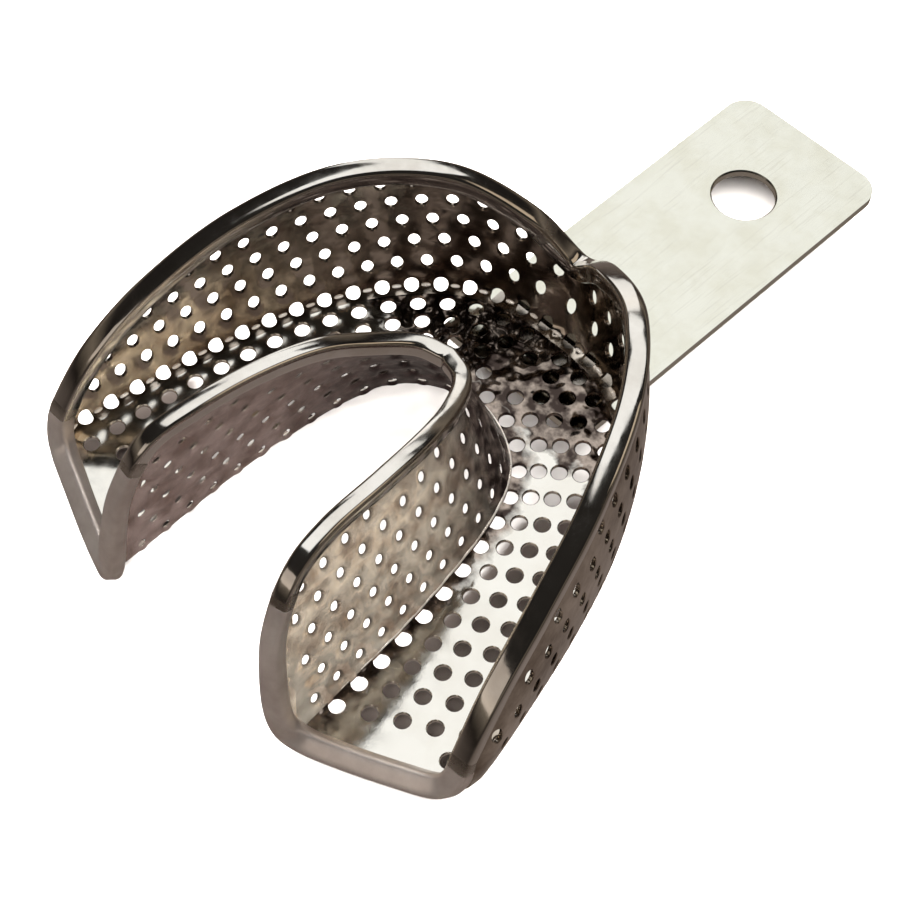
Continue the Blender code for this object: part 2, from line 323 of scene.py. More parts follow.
def sheet_mesh(face, outline, holes, fill, thickness, bore, chamfer):
    """Points, faces and marks of a closed sheet with holes, over a face's own two coordinates.

    Each hole is its rim's points and its centre.  The rim is the outer edge of a chamfer, which
    both sides of the sheet have.
    """
    flat = np.vstack([outline] + [rim for rim, _ in holes] + ([fill] if len(fill) else []))
    loops = [list(range(len(outline)))]
    first = len(outline)
    for rim, _ in holes:
        loops.append(list(range(first, first + len(rim))))
        first += len(rim)
    verts, _, tris, origins, _, inside = delaunay_2d_cdt(
        [Vector(p) for p in flat], [], loops, 0, SAME_PLACE)
    flat = np.array([tuple(v) for v in verts])
    place = {old: new for new, olds in enumerate(origins) for old in olds}
    kept = [tuple(t) for t, owners in zip(tris, inside) if list(owners) == [0]]
    front = face.point(flat[:, 0], flat[:, 1])
    back = front - face.normal(flat[:, 0], flat[:, 1]) * thickness
    count = len(front)
    points = [front, back]
    total = 2 * count
    a, b, c = (front[np.array(kept)[:, k]] for k in range(3))
    corners = flat[[t[0] for t in kept]]
    facing = face.normal(corners[:, 0], corners[:, 1])
    right_way = np.sum(np.cross(b - a, c - a) * facing, axis=1) > 0
    kept = [t if ok else t[::-1] for t, ok in zip(kept, right_way)]
    faces = list(kept) + [tuple(i + count for i in t[::-1]) for t in kept]

    # An edge with one triangle is a border: the triangle's own direction gives the side's.
    edges = [(i, j) for t in kept for i, j in zip(t, t[1:] + t[:1])]
    known = set(edges)
    borders = {i: j for i, j in edges if (j, i) not in known}
    hole_of = {place[old]: number for number, loop in enumerate(loops[1:]) for old in loop}
    depth = min(chamfer, thickness * CHAMFER_DEPTH)
    inner = {}
    for loop, (_, centre) in zip(loops[1:], holes):
        ids = [place[old] for old in loop]
        ring = centre + (flat[ids] - centre) * bore / (bore + chamfer)
        top = face.point(ring[:, 0], ring[:, 1])
        way = face.normal(ring[:, 0], ring[:, 1])
        points.append(top - way * depth)
        points.append(top - way * (thickness - depth))
        for k, i in enumerate(ids):
            inner[i] = (total + k, total + len(ids) + k)
        total += 2 * len(ids)
    for i, j in borders.items():
        if i in inner and j in inner and hole_of[i] == hole_of[j]:
            faces.append((j, i, inner[i][0], inner[j][0]))
            faces.append((inner[j][0], inner[i][0], inner[i][1], inner[j][1]))
            faces.append((inner[j][1], inner[i][1], i + count, j + count))
        else:
            faces.append((j, i, i + count, j + count))

    # What the materials read for their painted shade: 1 on the front's hole edges, and 1 all
    # over the back.
    marks = np.zeros((total, 2))
    marks[count:2 * count, 1] = 1
    for front_ring, back_ring in inner.values():
        marks[front_ring, 0] = 1
        marks[back_ring, 1] = 1
    return np.vstack(points), faces, marks


def measured(piece, name, values):
    """The piece, with a number for each of its points that its material reads."""
    layer = piece.data.attributes.new(name, "FLOAT", "POINT")
    layer.data.foreach_set("value", values)
    return piece


def row_stations(run, anchor, phase):
    """Distances along half a row, at the pitch of the holes, from the middle outwards."""
    start = (anchor + phase) % PITCH
    places = np.arange(start, run[-1], PITCH)
    places = np.where(places < MIDDLE_SNAP, 0.0, places)
    return places[(places == 0) | (places >= MIDDLE_CLEAR)]


def sides_of(place):
    """The sides of the middle that a hole at a distance from it is made on."""
    return (1,) if place == 0 else (1, -1)


def wall_holes(wall, first, rows, top_margin, mouth):
    """The holes in a wall: rims and centres in its own coordinates."""
    middle = wall.length / 2
    u = np.linspace(middle, wall.length, ROW_STEPS)
    anchor_u = np.interp(-ANCHOR_Y, -at(wall.foot, wall.foot_run, u)[:, 1], u)
    base = circle(1.0, HOLE_SIDES)
    above = 1e-4            # so that a row on the crease is sized as on the wall's side of it
    holes = []
    for row in range(rows):
        h = first + row * WALL_ROW
        wide, tall = WALL_HOLE if h > 0 else (1.0, 1.0)
        run = run_of(wall.point(u, np.full_like(u, h)))
        anchor = np.interp(anchor_u, u, run)
        for place in row_stations(run, anchor, (row % 2) * PITCH / 2):
            here = float(np.interp(place, run, u))
            _, _, height = wall.rise(np.array([here]))
            if h + HOLE_RADIUS * tall + top_margin > height[0, 0]:
                continue
            if here > wall.length - WALL_HEEL_MARGIN:
                continue
            du, dh = (v[0] for v in wall.slopes(np.array([here]), np.array([h + above])))
            size_u = np.linalg.norm(du)
            lean = np.dot(du, dh) / size_u
            size_h = max(math.sqrt(max(np.dot(dh, dh) - lean ** 2, 0.0)), LEAST_STRETCH)
            rise = base[:, 1] * mouth * tall / size_h
            along = (base[:, 0] * mouth * wide - rise * lean) / size_u
            for flip in sides_of(place):
                centre = np.array([middle + flip * (here - middle), h])
                rim = centre + np.column_stack([along * flip, rise])
                holes.append((rim[::flip], centre))
    return holes


def wall_outline(wall):
    """The border of a wall in its own coordinates: strip edge, heel, head and heel."""
    u = np.linspace(0, wall.length, WALL_STEPS)
    _, _, height = wall.rise(u)
    strip = np.column_stack([u, np.full_like(u, -wall.strip)])
    head = np.column_stack([u, height[:, 0]])[::-1]
    return np.vstack([strip, head])


def grid(low, high, step):
    """Points in even triangles, with every other row moved by half a step."""
    row_step = 0.87
    xs = np.arange(low[0] + step, high[0], step)
    ys = np.arange(low[1] + step, high[1], step * row_step)
    points = [np.column_stack([xs + (k % 2) * step / 2, np.full_like(xs, y)])
              for k, y in enumerate(ys)]
    return np.vstack(points)


def inside_polygon(points, outline):
    """True for each point inside a closed outline."""
    x, y = points[:, 0], points[:, 1]
    hit = np.zeros(len(points), bool)
    for (x0, y0), (x1, y1) in zip(outline, np.roll(outline, -1, axis=0)):
        if y0 != y1:
            hit ^= ((y0 > y) != (y1 > y)) & (x < (x1 - x0) * (y - y0) / (y1 - y0) + x0)
    return hit


def loose_points(outline, holes, step, clear):
    """Extra points for a smooth surface, clear of the holes and of the outline."""
    points = grid(outline.min(0), outline.max(0), step)
    points = points[inside_polygon(points, outline)]
    parts = 4
    dense = np.vstack([outline + (np.roll(outline, -1, axis=0) - outline) * k / parts
                       for k in range(parts)])
    centres = [c for _, c in holes]
    points = points[~near(points, centres, HOLE_RADIUS + HOLE_CHAMFER + clear)]
    return points[~near(points, dense, clear)]


def wall_piece(name, wall, first, top_margin, bore, chamfer, material, replaced):
    """A perforated wall with its bend and its strip of the floor."""
    holes = wall_holes(wall, first, WALL_ROWS, top_margin, bore + chamfer)
    outline = wall_outline(wall)
    fill = loose_points(outline, holes, *WALL_FILL)
    points, faces, marks = sheet_mesh(wall, outline, holes, fill, SHEET, bore, chamfer)
    piece = make(name, points, faces, material, replaced)
    measured(piece, "hole_edge", marks[:, 0])
    measured(piece, "back", marks[:, 1])


def floor_piece(outer, lingual, heel, material):
    """The perforated floor between the strips that belong to the walls."""
    u = np.linspace(0, 1, WALL_STEPS)
    outer_edge = outer.lying(u * outer.length, np.full_like(u, -outer.strip))[:, :2]
    lingual_edge = lingual.lying(u * lingual.length, np.full_like(u, -lingual.strip))[:, :2]
    outline = np.vstack([outer_edge, heel, lingual_edge[::-1], heel[::-1] * (-1, 1)])[::-1]
    parts = 8
    heel_points = np.vstack([heel[:-1] + np.diff(heel, axis=0) * k / parts for k in range(parts)])
    base = circle(HOLE_RADIUS + HOLE_CHAMFER, HOLE_SIDES)
    half = np.linspace(0.5, 1, ROW_STEPS)
    a = at(outer.foot, outer.foot_run, half * outer.length)[:, :2]
    b = at(lingual.foot, lingual.foot_run, half * lingual.length)[:, :2]
    width = np.linalg.norm(b - a, axis=1, keepdims=True)
    holes = []
    for row in range(1, FLOOR_ROWS + 1):
        line = a + (b - a) * (1 - LINGUAL_MARGIN / width) * row / FLOOR_ROWS
        run = run_of(line, 2)
        anchor = np.interp(-ANCHOR_Y, -line[:, 1], run)
        for place in row_stations(run, anchor, (row % 2) * PITCH / 2):
            centre = at(line, run, [place])[0]
            to_heel = np.min(np.linalg.norm(heel_points - centre, axis=1))
            if to_heel < HOLE_RADIUS + FLOOR_HEEL_MARGIN:
                continue
            for flip in sides_of(place):
                middle = centre * (flip, 1)
                holes.append((middle + base, middle))
    fill = loose_points(outline, holes, *FLOOR_FILL)
    points, faces, marks = sheet_mesh(Floor(), outline, holes, fill, SHEET, HOLE_RADIUS,
                                      HOLE_CHAMFER)
    floor = make("floor_sheet", points, faces, material, ["floor_plate"])
    # The distance to the lingual crease, where the floor's material paints shade.
    crease = lingual.foot[:, :2]
    gaps = [np.min(np.linalg.norm(crease - p[:2], axis=1)) * MM for p in points]
    measured(floor, "crease_gap", gaps)
    measured(floor, "hole_edge", marks[:, 0])


def rod_section():
    """The rim rod's section as side and up offsets: a strip with a flat, slightly crowned top."""
    half_width, half_height = ROD_WIDTH / 2, ROD_HEIGHT / 2
    points = []
    for corner, (x, z) in enumerate(((1, 1), (-1, 1), (-1, -1), (1, -1))):
        for step in range(ROD_CORNER_STEPS + 1):
            angle = (corner + step / ROD_CORNER_STEPS) * math.pi / 2
            points.append((x * (half_width - ROD_CORNER) + ROD_CORNER * math.cos(angle),
                           z * (half_height - ROD_CORNER) + ROD_CORNER * math.sin(angle)))
    points = np.array(points)
    points[:, 1] -= np.where(points[:, 1] > 0, ROD_CROWN * (points[:, 0] / half_width) ** 2, 0)
    crown = np.array([(x * half_width, half_height - ROD_CROWN * x * x) for x in ROD_CROWN_AT])
    return np.vstack([points[:ROD_CORNER_STEPS + 1], crown, points[ROD_CORNER_STEPS + 1:]])


def rod_frames(path, run, where):
    """Centre, side and up vectors of the rod at distances along its path.

    Up leans to the back round the heel, and turns upright again where the rod climbs.
    """
    reach = 0.15
    turn_start, turn_length = HEEL_START_Y + 6, 8
    climb_start, climb_length = 6, 10
    ahead = at(path, run, where + reach)
    behind = at(path, run, where - reach)
    centre = at(path, run, where)
    way = unit(ahead - behind)
    heel = (turn_start - centre[:, 1]) / turn_length
    standing = 1 - (centre[:, 2] - climb_start) / climb_length
    heel = np.where(centre[:, 2] > 0, np.minimum(heel, standing), heel)
    heel = np.clip(heel, 0, 1)[:, None]
    up = (1 - heel) * np.array([0.0, 0.0, 1.0]) + heel * np.array(ROD_LEAN)
    side = unit(np.cross(way, up))
    return centre, side, unit(np.cross(side, way))


def tube_faces(rings, sides):
    """Faces of a tube closed at both ends."""
    faces = []
    for r in range(rings - 1):
        for i in range(sides):
            j = (i + 1) % sides
            faces.append((r * sides + i, r * sides + j, (r + 1) * sides + j, (r + 1) * sides + i))
    faces.append(tuple(range(sides))[::-1])
    faces.append(tuple((rings - 1) * sides + i for i in range(sides)))
    return faces


def rod(name, path, start, end, material, replaced, scale=None, slim=1.0):
    """A stretch of the rim rod, as a tube of sections.

    scale gives the sections' size over the share of the stretch, and slim narrows all of them.
    """
    run = run_of(path)
    count = max(4, int((end - start) / ROD_STEP))
    where = np.linspace(start, end, count + 1)
    centre, side, up = rod_frames(path, run, where)
    section = rod_section() * (slim, 0.5 + slim / 2)
    size = np.ones(len(where)) if scale is None else scale(np.linspace(0, 1, len(where)))
    rings = [c + (section[:, :1] * s + section[:, 1:] * n) * k
             for c, s, n, k in zip(centre, side, up, size)]
    make(name, np.vstack(rings), tube_faces(len(rings), len(section)), material, replaced)


def bead(name, wall, breaks, material, replaced):
    """A fine bead of solder in a wall's crease, broken off near the given distances along it."""
    stops = [BEAD_END] + sorted(breaks) + [wall.length - BEAD_END]
    angle = np.arange(BEAD_SIDES) * 2 * math.pi / BEAD_SIDES
    tip, bluntness = 0.12, 0.35
    points, faces, count = [], [], 0
    for start, end in zip(stops, stops[1:]):
        start = start + BEAD_CLEAR if start in breaks else start
        end = end - BEAD_CLEAR if end in breaks else end
        if end - start < BEAD_CLEAR / 2:
            continue
        u = np.linspace(start, end, max(6, int((end - start) / BEAD_STEP)))
        out = unit(at(wall.out, wall.foot_run, u))
        centre = at(wall.foot, wall.foot_run, u) + out * wall.side * BEAD_SHIFT
        size = BEAD_RADIUS * np.sin(np.linspace(tip, math.pi - tip, len(u))) ** bluntness
        for c, o, r in zip(centre, out, size):
            points.append(c + r * (np.outer(np.cos(angle), o) + np.outer(np.sin(angle), (0, 0, 1))))
        faces += [tuple(i + count for i in face) for face in tube_faces(len(u), BEAD_SIDES)]
        count += len(u) * BEAD_SIDES
    make(name, np.vstack(points), faces, material, replaced, sharp=60)


# Materials.  A texture is its scale per metre and its detail.  Heights and distances in metres.

MIX_A, MIX_B, MIX_RESULT = 6, 7, 2      # a Mix node's colour sockets
TARNISH_DETAIL = 5.0
TARNISH_ROUGHNESS = 0.62
TARNISH_STOPS = (0.36, 0.60)            # the noise's values for the dull colour and the bright
# MOTTLES and MOTTLE_STOPS colour the painted shade of the darkened zones.
MOTTLES = (620.0, 4.0)
MOTTLE_STOPS = (0.42, 0.66)
DENTS = (430.0, 1.0)
RAGGED_BORDER = (420.0, 4.0)
ZONE_RAGGED = 0.008
CREASE_ZONE = (0.0030, 0.0016)          # from the lingual crease, where its painted shade starts and is full
CREASE_RAGGED = 0.004
SCRATCHES = (2400.0, 3.0)
SCRATCH_STRETCH = (1.0, 0.05, 1.0)
SCRATCH_TURN = (0.0, 0.0, 0.12)
SCRATCH_STOPS = (0.56, 0.74)
SCRATCH_COLOUR = (0.45, 0.42, 0.34)
# Painted shade in the holes' chamfers and bores.
HOLE_SHADE_COLOUR = (0.04, 0.028, 0.024)
GLOSS = (520.0, 4.0)
GLOSS_STOPS = (0.3, 0.7)
WAVES = (260.0, 2.0)
GRAIN = (2600.0, 3.0)


def socket(node, name, value):
    """Sets a node's input."""
    node.inputs[name].default_value = value


class Shading:
    """The nodes of a material or a world, made and linked."""

    def __init__(self, owner):
        owner.use_nodes = True
        self.nodes = owner.node_tree.nodes
        self.link = owner.node_tree.links.new
        self.place = self.nodes.new("ShaderNodeTexCoord").outputs

    def noise(self, scale, detail, roughness=0.5, where=None):
        """An even random pattern, over the tray's own coordinates unless said otherwise."""
        node = self.nodes.new("ShaderNodeTexNoise")
        socket(node, "Scale", scale)
        socket(node, "Detail", detail)
        socket(node, "Roughness", roughness)
        self.link(where or self.place["Object"], node.inputs["Vector"])
        return node.outputs["Fac"]

    def spread(self, value, low, high, new_low=0.0, new_high=1.0):
        """The value with the range from low to high carried over to a new range."""
        node = self.nodes.new("ShaderNodeMapRange")
        socket(node, "From Min", low)
        socket(node, "From Max", high)
        socket(node, "To Min", new_low)
        socket(node, "To Max", new_high)
        self.link(value, node.inputs["Value"])
        return node.outputs["Result"]

    def ramp(self, value, stops):
        """A colour that changes with the value, from positions and colours."""
        node = self.nodes.new("ShaderNodeValToRGB")
        elements = node.color_ramp.elements
        for position, _ in stops[1:-1]:
            elements.new(position)
        for element, (position, colour) in zip(elements, stops):
            element.position = position
            element.color = (*colour, 1.0)
        self.link(value, node.inputs["Fac"])
        return node.outputs["Color"]

    def mix(self, share, colour, other, blend="MIX"):
        """The colour with a share of another one, which can be constant."""
        node = self.nodes.new("ShaderNodeMix")
        node.data_type = "RGBA"
        node.blend_type = blend
        self.link(share, node.inputs["Factor"])
        self.link(colour, node.inputs[MIX_A])
        if isinstance(other, tuple):
            node.inputs[MIX_B].default_value = (*other, 1.0)
        else:
            self.link(other, node.inputs[MIX_B])
        return node.outputs[MIX_RESULT]

    def maths(self, operation, *values):
        """The result of an operation on values, of which some can be constant."""
        node = self.nodes.new("ShaderNodeMath")
        node.operation = operation
        for entry, value in zip(node.inputs, values):
            if isinstance(value, float):
                entry.default_value = value
            else:
                self.link(value, entry)
        return node.outputs["Value"]

    def attribute(self, name):
        """A number that the mesh has for each of its points."""
        node = self.nodes.new("ShaderNodeAttribute")
        node.attribute_name = name
        return node.outputs["Fac"]

    def axis(self, source, name):
        """One of the coordinates of a place."""
        node = self.nodes.new("ShaderNodeSeparateXYZ")
        self.link(self.place[source], node.inputs["Vector"])
        return node.outputs[name]

    def bump(self, height, distance, under=None, share=None):
        """A bumpy normal over another one, everywhere or by a share."""
        node = self.nodes.new("ShaderNodeBump")
        socket(node, "Strength", 1.0)
        socket(node, "Distance", distance)
        self.link(height, node.inputs["Height"])
        if under:
            self.link(under, node.inputs["Normal"])
        if share:
            self.link(share, node.inputs["Strength"])
        return node.outputs["Normal"]

    def zone(self, measure, start, full, ragged):
        """0 where a measure hasn't reached start and 1 past full, with a ragged border."""
        border = self.noise(*RAGGED_BORDER)
        shifted = self.maths("MULTIPLY_ADD", border, ragged, measure)
        return self.spread(shifted, start + ragged / 2, full + ragged / 2)


def metal(name, bright, dull, roughness, waviness, grain, tarnish_scale=140.0, rough_spread=0.10,
          shade_zone=None, shade_at_crease=False, dents=0.0, scratches=0.0, back_shade=None,
          hole_shade=0.0, haze=0.0):
    """Plated metal: uneven tint, uneven gloss, shallow waves and fine grain.

    rough_spread is how far the roughness varies, and waviness and grain are the heights of the
    waves and of the grain.  shade_zone is where a darkened, mottled zone of painted shade starts
    and is full along the tray, and its dark and light colours; dents is their depth in it.
    scratches and hole_shade are their strengths; hole_shade is painted shade on and in the
    holes.  back_shade is what the back's colour is multiplied by: painted shade on the back face.
    haze is the share of light that the worn plate scatters.
    """
    material = bpy.data.materials.new(name)
    tree = Shading(material)
    shader = tree.nodes["Principled BSDF"]
    socket(shader, "Metallic", 1.0 - haze)
    tarnish = tree.noise(tarnish_scale, TARNISH_DETAIL, TARNISH_ROUGHNESS)
    colour = tree.ramp(tarnish, list(zip(TARNISH_STOPS, (dull, bright))))
    # Painted shade: a zone along the tray darkened and mottled, and, where asked, a strip along the
    # lingual crease.
    if shade_zone:
        start, full, dark, light = shade_zone
        zone = tree.zone(tree.axis("Object", "Y"), start, full, ZONE_RAGGED)
        if shade_at_crease:
            edge = tree.zone(tree.attribute("crease_gap"), *CREASE_ZONE, CREASE_RAGGED)
            zone = tree.maths("MAXIMUM", zone, edge)
        mottling = tree.ramp(tree.noise(*MOTTLES), list(zip(MOTTLE_STOPS, (dark, light))))
        colour = tree.mix(zone, colour, mottling)
    if scratches:
        along = tree.nodes.new("ShaderNodeMapping")
        socket(along, "Scale", SCRATCH_STRETCH)
        socket(along, "Rotation", SCRATCH_TURN)
        tree.link(tree.place["Object"], along.inputs["Vector"])
        lines = tree.noise(*SCRATCHES, where=along.outputs["Vector"])
        worn = tree.spread(lines, *SCRATCH_STOPS, 0.0, scratches)
        colour = tree.mix(worn, colour, SCRATCH_COLOUR)
    # Painted shade: the back face darkened and tinted purple.
    if back_shade:
        colour = tree.mix(tree.attribute("back"), colour, back_shade, "MULTIPLY")
    # Painted shade: darker on the holes' chamfers and in their bores.
    if hole_shade:
        amount = tree.maths("MULTIPLY", tree.attribute("hole_edge"), hole_shade)
        colour = tree.mix(amount, colour, HOLE_SHADE_COLOUR)
    tree.link(colour, shader.inputs["Base Color"])

    uneven = tree.spread(tree.noise(*GLOSS), *GLOSS_STOPS, roughness, roughness + rough_spread)
    tree.link(uneven, shader.inputs["Roughness"])

    normal = tree.bump(tree.noise(*WAVES), waviness)
    normal = tree.bump(tree.noise(*GRAIN), grain, normal)
    if shade_zone:
        normal = tree.bump(tree.noise(*DENTS), dents, normal, zone)
    tree.link(normal, shader.inputs["Normal"])
    return material


def along_tray(y):
    """Where along the tray's own Y a distance from the datum in millimetres lies."""
    return datum[1] + y * MM


# The floor's front and a strip along the lingual crease get painted shade, and so do its holes.
floor_metal = metal("plated_floor", bright=(0.94, 0.93, 0.88), dull=(0.88, 0.86, 0.80),
                    roughness=0.05, waviness=0.00002, grain=0.000002,
                    shade_zone=(along_tray(-47.0), along_tray(-45.4),
                           (0.06, 0.045, 0.04), (0.46, 0.39, 0.34)),
                    shade_at_crease=True, dents=0.00036, hole_shade=0.3)
# The outer wall's holes get painted shade.
outer_metal = metal("plated_outer_wall", bright=(0.84, 0.77, 0.68), dull=(0.30, 0.24, 0.19),
                    roughness=0.08, waviness=0.00012, grain=0.000004, tarnish_scale=90.0,
                    hole_shade=0.85)
# The lingual wall's front, its back face and its holes get painted shade.
lingual_metal = metal("plated_lingual_wall", bright=(0.95, 0.84, 0.68), dull=(0.46, 0.35, 0.26),
                      roughness=0.15, waviness=0.00020, grain=0.000004, tarnish_scale=260.0,
                      shade_zone=(along_tray(-68.0), along_tray(-55.0),
                             (0.03, 0.02, 0.018), (0.17, 0.13, 0.11)),
                      dents=0.00010, back_shade=(0.50, 0.44, 0.50), hole_shade=0.85, haze=0.095)
rim_metal = metal("polished_rim", bright=(0.88, 0.86, 0.82), dull=(0.76, 0.73, 0.68),
                  roughness=0.06, waviness=0.00002, grain=0.000001)
heel_metal = metal("satin_heel_rim", bright=(0.66, 0.59, 0.54), dull=(0.52, 0.45, 0.41),
                   roughness=0.30, waviness=0.00003, grain=0.000003, haze=0.035)
handle_metal = metal("satin_handle", bright=(0.86, 0.87, 0.79), dull=(0.80, 0.80, 0.70),
                     roughness=0.11, waviness=0.000001, grain=0.000002, tarnish_scale=190.0,
                     rough_spread=0.06, scratches=0.16)
solder_metal = metal("plated_solder", bright=(0.74, 0.71, 0.66), dull=(0.45, 0.41, 0.36),
                     roughness=0.22, waviness=0.00020, grain=0.00001)
seam_metal = metal("plated_seam", bright=(0.90, 0.84, 0.76), dull=(0.60, 0.52, 0.44),
                   roughness=0.25, waviness=0.00010, grain=0.00001, haze=0.12)

# Rails.
rim_loop = smooth(mirrored(OUTER_RIM + HEEL_RIM + LINGUAL_RIM))
rim_run = run_of(rim_loop)
outer = Wall(smooth(mirrored(OUTER_CREASE)), smooth(mirrored(OUTER_RIM)), -1,
             OUTER_BULGE, 0.0, OUTER_BEND, OUTER_STRIP)
lingual = Wall(smooth(mirrored(LINGUAL_CREASE)), smooth(mirrored(LINGUAL_RIM[::-1])), 1,
               LINGUAL_BULGE, HEEL_BOW, LINGUAL_BEND, LINGUAL_STRIP)
middle = rim_run[-1] / 2
right_half = rim_loop[len(rim_loop) // 2:]
half_run = rim_run[len(rim_loop) // 2:]


def heel_line():
    """The floor's edge in plan under the right heel rod, from the outer strip to the lingual."""
    low, far_back = -1.5, -80
    outer_end, lingual_end = 30.2, 16.3
    inset, every = 0.5, 6
    under = right_half[(right_half[:, 2] < low) & (right_half[:, 1] < far_back)][::every, :2]
    line = smooth(np.column_stack([under + (0, inset), np.zeros(len(under))]), 2)[:, :2]
    return line[(line[:, 0] < outer_end) & (line[:, 0] > lingual_end)]


# Sheets.
wall_piece("outer_wall_sheet", outer, OUTER_FIRST_ROW, OUTER_TOP_MARGIN, OUTER_BORE, HOLE_CHAMFER,
           outer_metal, ["outer_wall"])
wall_piece("lingual_wall_sheet", lingual, LINGUAL_FIRST_ROW, LINGUAL_TOP_MARGIN, LINGUAL_BORE,
           LINGUAL_CHAMFER, lingual_metal, ["lingual_wall"])
floor_piece(outer, lingual, heel_line(), floor_metal)
crease_row = wall_holes(outer, OUTER_FIRST_ROW, 1, OUTER_TOP_MARGIN, HOLE_RADIUS)
bead("outer_seam_bead", outer, [centre[0] for _, centre in crease_row], seam_metal,
     ["outer_seam_solder"])
bead("lingual_seam_bead", lingual, [], seam_metal, ["lingual_seam_solder"])

# Rims.
notch_at = middle + FRENUM_HALF
heel_at = float(half_run[np.argmax(right_half[:, 1] < HEEL_START_Y)])
past_heel = (half_run > heel_at) & (right_half[:, 2] > HEEL_END_Z)
heel_end = float(half_run[np.argmax(past_heel)])


def swell(t):
    """The size of a lump of solder along its length, over the rod's."""
    return LUMP_SIZE + LUMP_SWELL * np.sin(np.pi * t)


def lingual_swell(t):
    """The size of a lump of solder where the heel rod meets the lingual rod."""
    return swell(t) * LINGUAL_JOIN


def slimmer(t):
    """The size of the right heel rod, which slims towards the lingual rod."""
    start = 0.62
    late = np.clip((t - start) / (1 - start), 0, 1)
    return 1 - (1 - LINGUAL_JOIN) * late * late * (3 - 2 * late)


def slimmer_back(t):
    """The size of the left heel rod, which is made the other way round."""
    return slimmer(1 - t)


rod("frenum_rod", rim_loop, middle - FRENUM_HALF, notch_at, rim_metal, ["frenum_rim"])
for hand, flip, heel_size in (("right", 1, slimmer), ("left", -1, slimmer_back)):
    spans = [("outer_rod_", "outer_rim_", notch_at, heel_at, rim_metal, None),
             ("heel_rod_", "heel_rim_", heel_at, heel_end, heel_metal, heel_size)]
    for name, node, start, end, finish, size in spans:
        low, high = sorted([middle + flip * (start - middle), middle + flip * (end - middle)])
        rod(name + hand, rim_loop, low, high, finish, [node + hand], size)
    for name, spot, size in (("notch_solder_", notch_at, swell), ("heel_solder_", heel_at, swell),
                             ("lingual_solder_", heel_end, lingual_swell)):
        spot = middle + flip * (spot - middle)
        rod("lump_" + name + hand, rim_loop, spot - LUMP_HALF, spot + LUMP_HALF, solder_metal,
            [name + hand], size)


def lingual_line():
    """The lingual rod's path, from one heel rod to the other."""
    knots, spans = 60, 6
    half = at(rim_loop, rim_run, np.linspace(heel_end, rim_run[-1], knots))
    return smooth(np.vstack([half[:-1] * (-1, 1, 1), half[::-1]]), spans)


lingual_path = lingual_line()
rod("lingual_rod", lingual_path, LINGUAL_GAP, run_of(lingual_path)[-1] - LINGUAL_GAP, rim_metal,
    ["lingual_rim"], slim=LINGUAL_SLIMMING)


# Handle.
def handle_piece():
    """The flat handle, with eased edges, rounded corners and a round hole."""
    half = HANDLE_WIDTH / 2
    outline = [(half, HANDLE_ROOT_Y)]
    for side, start in ((1, 0.0), (-1, math.pi / 2)):
        for i in range(HANDLE_CORNER_STEPS + 1):
            angle = start + math.pi / 2 * i / HANDLE_CORNER_STEPS
            outline.append((side * (half - HANDLE_CORNER) + HANDLE_CORNER * math.cos(angle),
                            HANDLE_TIP_Y - HANDLE_CORNER + HANDLE_CORNER * math.sin(angle)))
    outline.append((-half, HANDLE_ROOT_Y))
    hole = circle(HANDLE_HOLE + HANDLE_EASE, HANDLE_HOLE_SIDES)
    points, faces, _ = sheet_mesh(Plate(), np.array(outline), [(hole, np.zeros(2))], [],
                                  HANDLE_THICK, HANDLE_HOLE, HANDLE_EASE)
    make("handle", points, faces, handle_metal, ["handle_plate"])


handle_piece()
for node in ("handle_pad_solder", "handle_fillet_solder"):
    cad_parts[node].data.materials.clear()
    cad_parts[node].data.materials.append(solder_metal)

# Camera, at the same angle as the view of the tray that the looks are made for.
CAMERA_AZIMUTH = math.radians(42.66)
CAMERA_ELEVATION = math.radians(54.11)
CAMERA_ROLL = math.radians(2.57)
CAMERA_AT = np.array([115.13, -176.16, 230.57])
LENS = 100.24
SENSOR = 36.0
NEAREST = 0.01

back = Vector((math.sin(CAMERA_AZIMUTH) * math.cos(CAMERA_ELEVATION),
               -math.cos(CAMERA_AZIMUTH) * math.cos(CAMERA_ELEVATION),
               math.sin(CAMERA_ELEVATION)))
level = Vector((math.cos(CAMERA_AZIMUTH), math.sin(CAMERA_AZIMUTH), 0.0))
upright = back.cross(level)
right = level * math.cos(CAMERA_ROLL) + upright * math.sin(CAMERA_ROLL)
upward = upright * math.cos(CAMERA_ROLL) - level * math.sin(CAMERA_ROLL)
camera_data = bpy.data.cameras.new("camera")
camera_data.lens = LENS
camera_data.sensor_width = SENSOR
camera_data.clip_start = NEAREST
camera = bpy.data.objects.new("camera", camera_data)
turn = Matrix((right, upward, back)).transposed().to_4x4()
camera.matrix_world = Matrix.Translation(Vector(CAMERA_AT * MM + datum)) @ turn
bpy.context.scene.collection.objects.link(camera)
bpy.context.scene.camera = camera

# Studio, in metres from the frame's origin and in watts.
KEY_TINT = (1.0, 0.99, 0.965)
CEILING = 0.6
CARD_DISTANCE = 0.9
FLOOR_LIGHTS = 8                # in a ring round the tray, all facing it
FLOOR_LIGHT_TURN = 15
FLOOR_LIGHT_RISE = 1.6          # over the ring's radius
FLOOR_LIGHT_DISTANCE = 1.3
FLOOR_LIGHT_SIZE = 0.6
FLOOR_LIGHT_POWER = 32.0
FLOOR_REACH = 3.0
FLOOR_COLOUR = (0.42, 0.395, 0.375)

# The veil under the limbs, in millimetres like the tray.
VEIL_MARGINS = (0.5, 1.9)       # from the outer crease and from the lingual one
VEIL_GAP = 0.3                  # the least distance below the sheet
VEIL_DEPTH = 0.6                # the share of the room below that where the veil lies
VEIL_FRONTS = (-38.0, -64.0)    # its front ends under the right limb and the left
VEIL_COLOUR = (0.12, 0.103, 0.095)
VEIL_STEPS = 81


